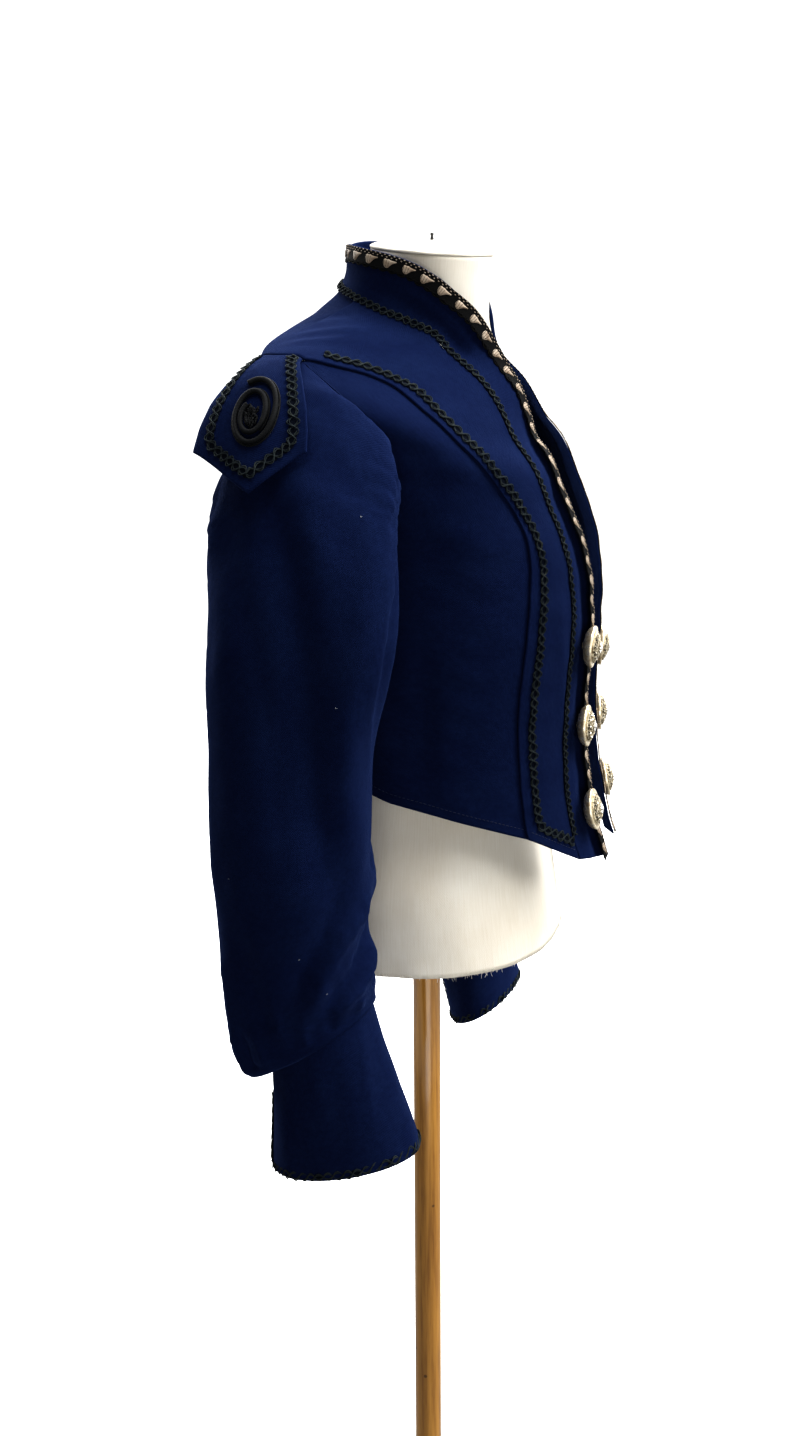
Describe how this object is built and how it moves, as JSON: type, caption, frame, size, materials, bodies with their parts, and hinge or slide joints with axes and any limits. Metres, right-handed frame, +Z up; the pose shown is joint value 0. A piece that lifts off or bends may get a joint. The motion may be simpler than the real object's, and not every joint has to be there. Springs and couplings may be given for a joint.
{
  "type": "edwardian jacket on dress form",
  "caption": "Short navy wool jacket with full gathered sleeves, gauntlet cuffs, shoulder tabs, braid and large buttons, worn on a limbless dress form on a pole stand",
  "frame": {"origin": "under the centre of the base, on the axis of the pole", "axes": "+Z up along the pole, -Y to the front of the jacket, -X to the wearer's right"},
  "size_m": [0.5974, 0.38, 1.4346],
  "materials": {
    "navy_wool": "soft napped wool cloth, dull",
    "black_braid": "black gimp braid with a faint sheen",
    "patterned_ribbon": "woven black ribbon with a beige leaf pattern",
    "black_cord": "twisted black cord",
    "button_metal": "pale gilt metal, polished rim and ornate face",
    "form_calico": "plain ivory calico",
    "pole_varnish": "golden brown varnish, worn",
    "base_iron": "dark enamel"
  },
  "bodies": {
    "root": {"base": "base_iron", "pole": "pole_varnish", "form_torso": "form_calico", "form_neck_cap": "form_calico", "neck_pin": "base_iron", "back_right": "navy_wool", "side_front_right": "navy_wool", "front_right": "navy_wool", "collar_band_right": "navy_wool", "sleeve_right": "navy_wool", "cuff_right": "navy_wool", "shoulder_tab_right": "navy_wool", "cuff_braid_right": "black_braid", "tab_braid_right": "black_braid", "inner_braid_right": "black_braid", "outer_braid_right": "black_braid", "ribbon_right": "patterned_ribbon", "rosette_right": "black_cord", "button_right_1": "button_metal", "button_right_2": "button_metal", "button_right_3": "button_metal", "back_left": "navy_wool", "side_front_left": "navy_wool", "front_left": "navy_wool", "collar_band_left": "navy_wool", "sleeve_left": "navy_wool", "cuff_left": "navy_wool", "shoulder_tab_left": "navy_wool", "cuff_braid_left": "black_braid", "tab_braid_left": "black_braid", "inner_braid_left": "black_braid", "outer_braid_left": "black_braid", "ribbon_left": "patterned_ribbon", "rosette_left": "black_cord", "button_left_1": "button_metal", "button_left_2": "button_metal", "button_left_3": "button_metal"}
  },
  "joints": []
}
